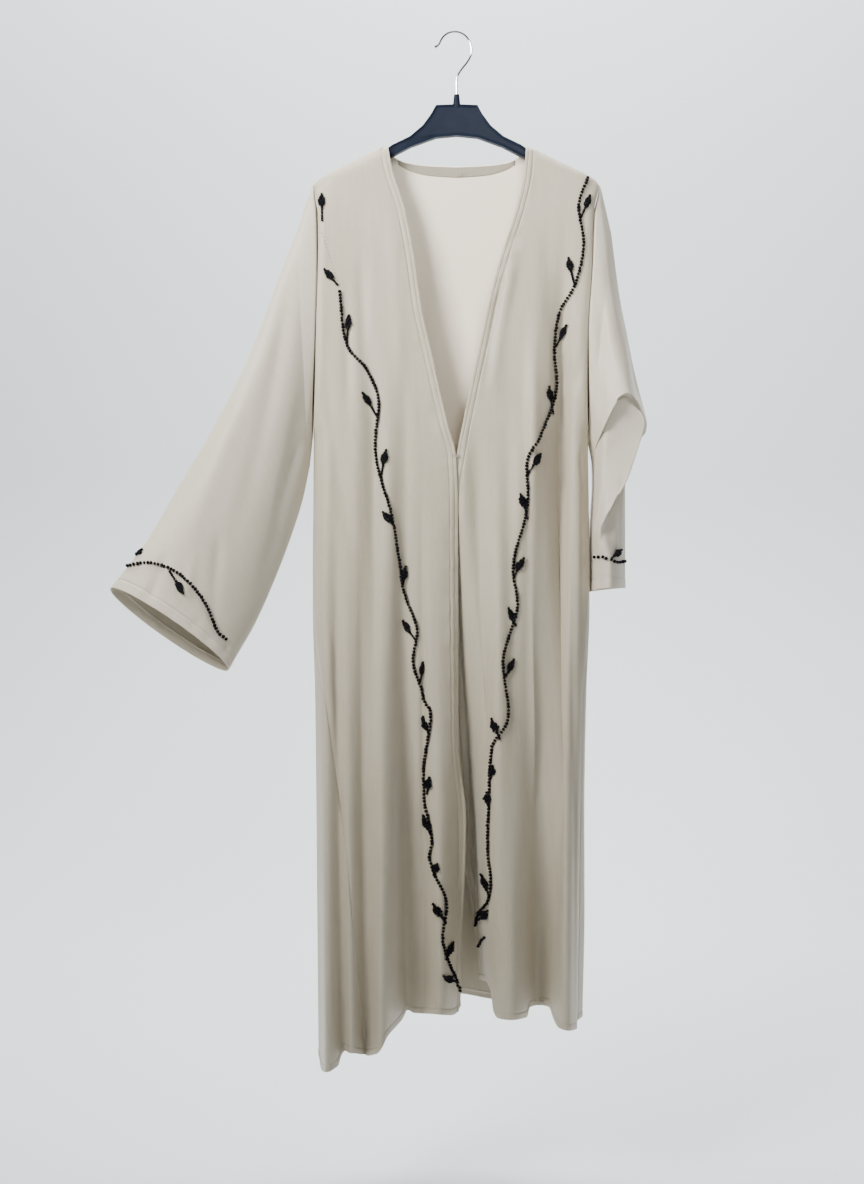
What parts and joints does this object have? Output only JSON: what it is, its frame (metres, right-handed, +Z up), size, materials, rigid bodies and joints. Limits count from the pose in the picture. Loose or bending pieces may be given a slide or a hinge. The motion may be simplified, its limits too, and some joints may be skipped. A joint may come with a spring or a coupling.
{
  "type": "abaya cloak and hanger",
  "caption": "Long open-front abaya cloak with wide sleeves and beaded vines, hanging on a plastic hanger with a wire hook.",
  "frame": {"origin": "inside of the hanger hook's crown, where a rail or peg carries it", "axes": "+Z up along the hook's shank, the cloak's front faces -Y, +X to the viewer's right"},
  "size_m": [0.7743, 0.3056, 1.5162],
  "materials": {
    "cloth": "soft satin crepe, beige",
    "facing": "soft satin crepe, beige",
    "beads": "faceted gloss black",
    "plastic": "satin blue-black",
    "wire": "bright plated steel"
  },
  "bodies": {
    "root": {"front_left": "cloth", "front_right": "cloth", "back": "cloth", "sleeve_left": "cloth", "sleeve_right": "cloth", "back_neck_facing": "facing", "vine_front_left": "beads", "vine_front_right": "beads", "vine_cuff_left": "beads", "vine_cuff_right": "beads", "leaf_left_shoulder": "beads", "leaf_left_chest": "beads", "leaf_left_cuff": "beads", "hanger_body": "plastic", "hanger_hook": "wire"}
  },
  "joints": []
}
